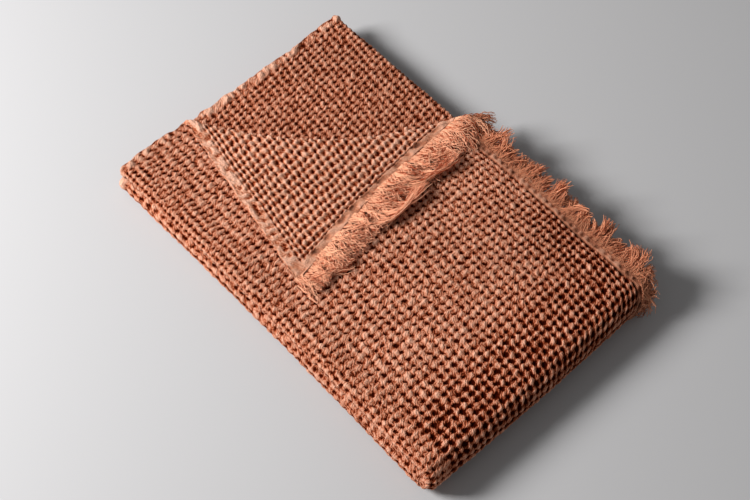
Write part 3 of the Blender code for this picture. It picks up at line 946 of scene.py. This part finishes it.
# span, tufts, strands in each, length, seed, and for the rows their height and rise
corner_yarn = np.concatenate([
    corner_tufts(corner_row, 27, 31, 0.043, 31, 0.0016, 0.0042),
    corner_tufts(corner_row, 50, 8, 0.037, 33, 0.0004, 0.0012),
    corner_tufts(corner_row, 28, 15, 0.053, 41, -0.0024, 0.0012),
    fold_end_tufts((0.240, 0.2735), 11, 33, 0.050, 43),
    trailing_bunches((0.075, 0.190), 5, 32, 0.058, 45),
])
fringe_corner = grow_yarn("yarn_corner", corner_yarn, 0.00086)

# %% [markdown]
# ## Fringe along the stack and round its end
#
# Past the corner the tufts stand out from the stack's side.  Some end in a tight point that
# curls up, others fray.  Round the turned end they fan out and droop.


# %% Fringe along the stack
def standing_tufts(tufts, strands, length, seed, droop, curl):
    """A row of tufts that stand out from the stack's side."""
    span = (FOLD_TO[0] + 0.004, LOWER_FROM - 0.006)
    at, out, up, own, share = tufted_yarn(span, tufts, strands, length, seed)
    at = at + out * 0.32 * own[1] + 0.008 * own[2] * share ** 2.5
    lift = curl * np.maximum(own[3] + 0.25, -0.2) * share ** 2.6 - droop * share ** 1.3
    out = out * (1.0 - 0.16 * (1.0 + own[5]) * share ** 2)
    at = np.maximum(at, FOLD_TO[0] + 0.001)
    return outer_edge(at, out - 0.0070, lift + up + 0.0030 * (1.0 - share))


# tufts, strands in each, length, seed, droop and curl
standing_yarn = np.concatenate([
    standing_tufts(33, 34, 0.040, 51, 0.0020, 0.0150),
    standing_tufts(74, 12, 0.033, 53, 0.0040, 0.0050),
    standing_tufts(38, 16, 0.037, 52, 0.0095, 0.0030),
])
fringe_top = grow_yarn("yarn_top", standing_yarn, 0.00078)

# %% [markdown]
# ## Fringe under the stack and inside the roll
#
# These strands are hidden or nearly so.  They are sparser, and those on the floor lie
# level on it.

# %% Hidden fringes
HIDDEN_RADIUS = 0.0007
at, out, up, _, _ = tufted_yarn((LOWER_FROM, CLOTH_WIDTH - 0.004), 46, 10, 0.034, 61)
floor_yarn = outer_edge(np.minimum(at, CLOTH_WIDTH - 0.002), out, CLOTH / 2 - 0.0022 + 0.25 * up)
fringe_floor = grow_yarn("yarn_floor", floor_yarn, HIDDEN_RADIUS)
at, out, up, _, _ = tufted_yarn((0.004, CLOTH_WIDTH - 0.004), 60, 7, 0.034, 71, steps=5)
at = np.clip(at, 0.002, CLOTH_WIDTH - 0.002)
inner_yarn = as_paths(cloth_point(at, CLOTH_LENGTH + out, 0.3 * up))
fringe_inner = grow_yarn("yarn_inner", inner_yarn, HIDDEN_RADIUS)

# %% [markdown]
# ## Colours
#
# Colours are written as hex values, the way a dyer's card gives them, and one function
# turns them into the linear values that the renderer adds up.


# %% Colour and node helpers
def linear(hex_colour):
    """An sRGB hex colour as linear red, green, blue and alpha."""
    parts = [int(hex_colour[start:start + 2], 16) / 255 for start in (1, 3, 5)]
    return [part / 12.92 if part <= 0.04045 else ((part + 0.055) / 1.055) ** 2.4
            for part in parts] + [1.0]


def fill_inputs(tree, node, inputs):
    """Set a node's inputs to numbers or colours, or link them to another node's output."""
    for name, value in inputs.items():
        if isinstance(value, bpy.types.NodeSocket):
            tree.links.new(value, node.inputs[name])
        else:
            node.inputs[name].default_value = value


def add_node(tree, kind, inputs=None, **settings):
    """Add a shader node with its settings and its inputs."""
    node = tree.nodes.new("ShaderNode" + kind)
    for name, value in settings.items():
        setattr(node, name, value)
    fill_inputs(tree, node, inputs or {})
    return node


def calculate(tree, operation, *values):
    """The output of one step of arithmetic on outputs and numbers."""
    return add_node(tree, "Math", dict(enumerate(values)), operation=operation).outputs[0]


def add_noise(tree, place, scale, detail, roughness=0.5):
    """Noise on places in metres; its largest lumps are 1 / scale metres apart."""
    return add_node(tree, "TexNoise", {"Vector": place, "Scale": scale, "Detail": detail,
                                       "Roughness": roughness}).outputs["Fac"]


def map_range(tree, value, low, high, to_low, to_high):
    """Carry values from one range to another."""
    return add_node(tree, "MapRange", {"Value": value, "From Min": low, "From Max": high,
                                       "To Min": to_low, "To Max": to_high}).outputs[0]


def new_material(name):
    """A material with an empty tree but for its shader."""
    material = bpy.data.materials.new(name)
    material.use_nodes = True
    return material, material.node_tree, material.node_tree.nodes["Principled BSDF"]


def set_ramp(node, stops):
    """Give a colour ramp its stops, as (place, hex colour)."""
    ramp = node.color_ramp
    ramp.elements.remove(ramp.elements[0])
    ramp.elements[0].position = stops[0][0]
    ramp.elements[0].color = linear(stops[0][1])
    for place, colour in stops[1:]:
        ramp.elements.new(place).color = linear(colour)


print("knot colour, linear:", [round(part, 3) for part in linear("#CB8A6F")])

# %% [markdown]
# ## Waffle-weave cotton
#
# The cloth is garment-dyed cotton.  Its colour is painted darker and redder towards the pits:
# painted shade, and painted light bounced from yarn to yarn.  Cotton is matt, with a faint
# bloom of fibres that catches light at grazing angles.  The yarn's plies are about 1.5 mm
# wide.  They are drawn by a slanted wave that repeats each half cell, some 5 mm, and is
# strongly crumpled: coarser than real, so that they show.  The plain band's threads are
# drawn 2.3 mm apart for the same reason.  Fluff is noise in clumps of 1000 / 380 = 2.6 mm
# that goes down to 0.2 mm, a wisp of some ten fibres.  Plies, threads and fluff both bump the
# surface and move its colour along the same ramp, so the grooves between them carry painted
# shade.

# %% Waffle cotton
def bands(repeat):
    """The Scale of a wave texture whose bands repeat at this distance."""
    return 2.0 * math.pi / 10.0 / repeat


def waffle_cotton(name, stops, plain):
    """Garment-dyed cotton in a waffle weave; stops run from knot to pit, painted darker as shade."""
    material, tree, shader = new_material(name)
    hollow = add_node(tree, "Attribute", attribute_name="hollow").outputs["Fac"]
    band = add_node(tree, "Attribute", attribute_name="plain").outputs["Fac"]
    place = add_node(tree, "TexCoord").outputs["Object"]
    flat = add_node(tree, "UVMap", uv_map="flat_cloth").outputs["UV"]
    cells = add_node(tree, "UVMap", uv_map="cells").outputs["UV"]
    plies = add_node(tree, "TexWave", {"Vector": cells, "Scale": bands(0.55), "Distortion": 11.0,
                                       "Detail": 4.0, "Detail Scale": 1.6}, bands_direction="DIAGONAL")
    ribs = add_node(tree, "TexWave", {"Vector": flat, "Scale": bands(0.0023), "Distortion": 1.4,
                                      "Detail": 2.0}, bands_direction="X")
    yarn = add_node(tree, "Mix", {"Factor": band, "A": plies.outputs["Fac"],
                                  "B": ribs.outputs["Fac"]}).outputs[0]
    fluff = add_noise(tree, place, 380.0, 4.0, 0.8)
    # Painted shade: deeper in the weave and in the grooves between plies, the colour is darker and
    # redder.
    depth = calculate(tree, "MULTIPLY_ADD", yarn, -0.27, hollow)
    depth = calculate(tree, "MULTIPLY_ADD", fluff, 0.50, depth)
    shade = add_node(tree, "ValToRGB", {"Fac": depth})
    set_ramp(shade, stops)
    banded = add_node(tree, "Mix", {"Factor": band, "A": shade.outputs["Color"], "B": linear(plain)},
                      data_type="RGBA")
    slow = add_noise(tree, place, 9.0, 2.0)
    knot = add_noise(tree, place, 130.0, 1.0)
    tint = map_range(tree, calculate(tree, "ADD", slow, knot), 0.6, 1.4, 0.84, 1.14)
    colour = add_node(tree, "HueSaturation", {"Color": banded.outputs[2], "Value": tint})
    rough = calculate(tree, "ADD", yarn, fluff)
    bump = add_node(tree, "Bump", {"Height": rough, "Strength": 0.95, "Distance": 0.0010})
    bloom = map_range(tree, hollow, 0.0, 0.6, 0.14, 0.0)
    fill_inputs(tree, shader, {
        "Base Color": colour.outputs[0], "Normal": bump.outputs["Normal"],
        "Sheen Weight": bloom, "Specular IOR Level": bloom,
        "Roughness": 0.92, "IOR": 1.46, "Sheen Roughness": 0.45, "Sheen Tint": linear("#F0C4AE")})
    return material


# From knot to pit; the dark red stops are painted shade and painted bounced light in the pits.
face_stops = ((0.10, "#DEAA91"), (0.42, "#CB8A6F"), (0.57, "#AA6042"), (0.69, "#742F18"),
              (0.86, "#320902"))
reverse_stops = ((0.10, "#E2AF97"), (0.42, "#D29275"), (0.59, "#B66A4A"), (0.73, "#86361B"),
                 (0.92, "#4A1205"))
face_cotton = waffle_cotton("garment_dyed_waffle_cotton_painted_pit_shade", face_stops, "#B0775D")
reverse_cotton = waffle_cotton("waffle_cotton_reverse_painted_pit_shade", reverse_stops, "#D19476")
for piece in (throw_left, throw_right, throw_end, throw_second, throw_under, throw_inner):
    piece.data.materials.append(face_cotton)
throw_corner.data.materials.append(reverse_cotton)
print("finishes of the cloth:", face_cotton.name, "and", reverse_cotton.name)

# %% [markdown]
# ## Loose cotton yarn
#
# The fringe is the same dyed yarn with nothing to hold it.  Single strands differ in tone,
# each is painted darker at its root and lighter towards its tip, where light catches it, and
# noise from 1.1 mm down to 0.1 mm stands for the loose fibres along each one.  The corner's
# fringe lies uppermost in the light, so its yarn is painted paler as lit; the other fringes
# are painted darker as shade: one yarn in a lit and a shaded copy.


# %% Loose yarn
def loose_yarn(name, light, dark):
    """Loose plied cotton yarn of slightly different tones from strand to strand."""
    material, tree, shader = new_material(name)
    own = add_node(tree, "Attribute", attribute_name="strand").outputs["Fac"]
    run = add_node(tree, "Attribute", attribute_name="along_strand").outputs["Fac"]
    place = add_node(tree, "TexCoord").outputs["Object"]
    blend = calculate(tree, "ADD", own, add_noise(tree, place, 160.0, 3.0))
    tone = add_node(tree, "ValToRGB", {"Fac": blend})
    set_ramp(tone, ((0.55, dark), (1.0, light)))
    # Painted light: each strand darker at its root and lighter towards its tip, where light catches
    # it.
    tip = map_range(tree, run, 0.0, 1.0, 0.86, 1.08)
    colour = add_node(tree, "HueSaturation", {"Color": tone.outputs["Color"], "Value": tip})
    fibres = add_noise(tree, place, 900.0, 3.0)
    bump = add_node(tree, "Bump", {"Height": fibres, "Strength": 0.4, "Distance": 0.0004})
    fill_inputs(tree, shader, {
        "Base Color": colour.outputs[0], "Normal": bump.outputs["Normal"],
        "Roughness": 0.9, "IOR": 1.46, "Specular IOR Level": 0.25, "Sheen Weight": 0.05})
    return material


# A lit and a shaded copy of one yarn: the corner's is painted paler as lit, the rest darker as shade.
lit_yarn_cotton = loose_yarn("plied_cotton_painted_lit", "#F6B693", "#BB5630")
shaded_yarn_cotton = loose_yarn("plied_cotton_painted_shade", "#E29A76", "#883D1F")
yarns = (fringe_corner, fringe_top, fringe_floor, fringe_inner)
fringe_corner.data.materials.append(lit_yarn_cotton)
for piece in yarns[1:]:
    piece.data.materials.append(shaded_yarn_cotton)
print("finishes of the fringe:", lit_yarn_cotton.name, "and", shaded_yarn_cotton.name)

# %% [markdown]
# ## Floor and light
#
# A pale sheet of card takes the shadow.  One soft lamp about a metre wide stands to the
# left of the picture, some 35 degrees up, so that every knot throws a short shadow, and
# a dim pale room fills the rest.

# %% Floor and light
LAMP_LEFT, LAMP_BACK, LAMP_UP, LAMP_SIZE, LAMP_WATTS = 2.35, 0.05, 1.67, 1.04, 138.0
LAMP_AIM = np.array([0.0, 0.0, 0.03])

floor_mesh = bpy.data.meshes.new("floor")
floor_mesh.from_pydata([(-4, -4, 0), (4, -4, 0), (4, 4, 0), (-4, 4, 0)], [], [(0, 1, 2, 3)])
floor = bpy.data.objects.new("floor", floor_mesh)
floor.location.z = -0.0002
bpy.context.scene.collection.objects.link(floor)
floor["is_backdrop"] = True
floor_card, card_tree, card_shader = new_material("pale_grey_card")
card_grain = add_node(card_tree, "TexNoise", {"Scale": 300.0, "Detail": 3.0})
card_bump = add_node(card_tree, "Bump", {"Height": card_grain.outputs["Fac"], "Strength": 0.05,
                                         "Distance": 0.0005})
fill_inputs(card_tree, card_shader, {"Normal": card_bump.outputs["Normal"],
                                     "Base Color": linear("#B9BBBF"), "Roughness": 0.85})
floor_mesh.materials.append(floor_card)

world = bpy.data.worlds.new("pale_room")
world.use_nodes = True
fill_inputs(world.node_tree, world.node_tree.nodes["Background"],
            {"Color": linear("#F2EEEA"), "Strength": 0.22})
bpy.context.scene.world = world
bpy.context.scene.view_settings.view_transform = "Standard"

picture_right = np.array([math.cos(AZIMUTH), math.sin(AZIMUTH), 0.0])
picture_up = np.array([-math.sin(AZIMUTH), math.cos(AZIMUTH), 0.0])
lamp_data = bpy.data.lights.new("key", "AREA")
lamp_data.size = LAMP_SIZE
lamp_data.energy = LAMP_WATTS
lamp_data.color = linear("#FFFBF7")[:3]
lamp = bpy.data.objects.new("key", lamp_data)
lamp_place = -LAMP_LEFT * picture_right + LAMP_BACK * picture_up + np.array([0, 0, LAMP_UP])
lamp.location = lamp_place
toward = LAMP_AIM - lamp_place
yaw = math.atan2(toward[1], toward[0])
lamp.rotation_euler = (math.acos(-toward[2] / np.linalg.norm(toward)), 0.0, yaw - math.pi / 2)
bpy.context.scene.collection.objects.link(lamp)
print("lamp:", lamp.name, "at", lamp_place.round(2))

# %% [markdown]
# ## What stands for what
#
# Last, the solids that the sheets and the yarn stand in for are hidden.

cloth = (throw_left, throw_right, throw_end, throw_corner, throw_second, throw_under, throw_inner)
for piece in cloth:
    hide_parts("throw_cloth")
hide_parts("fringe_corner")
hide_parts("fringe_top", "fringe_turn")
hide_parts("fringe_floor")
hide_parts("fringe_inner")

# %% [markdown]
# ## Measuring
#
# The dressed throw may stand only a little proud of its solids.  Both boxes, of the
# solids and of the dressed throw, are written down side by side, so that they can be
# compared after every change.

# %% Measure and finish
dressed_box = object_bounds()
for label, box in (("solids", cad_box), ("dressed", dressed_box)):
    print(label, [[round(float(value), 4) for value in corner] for corner in box])
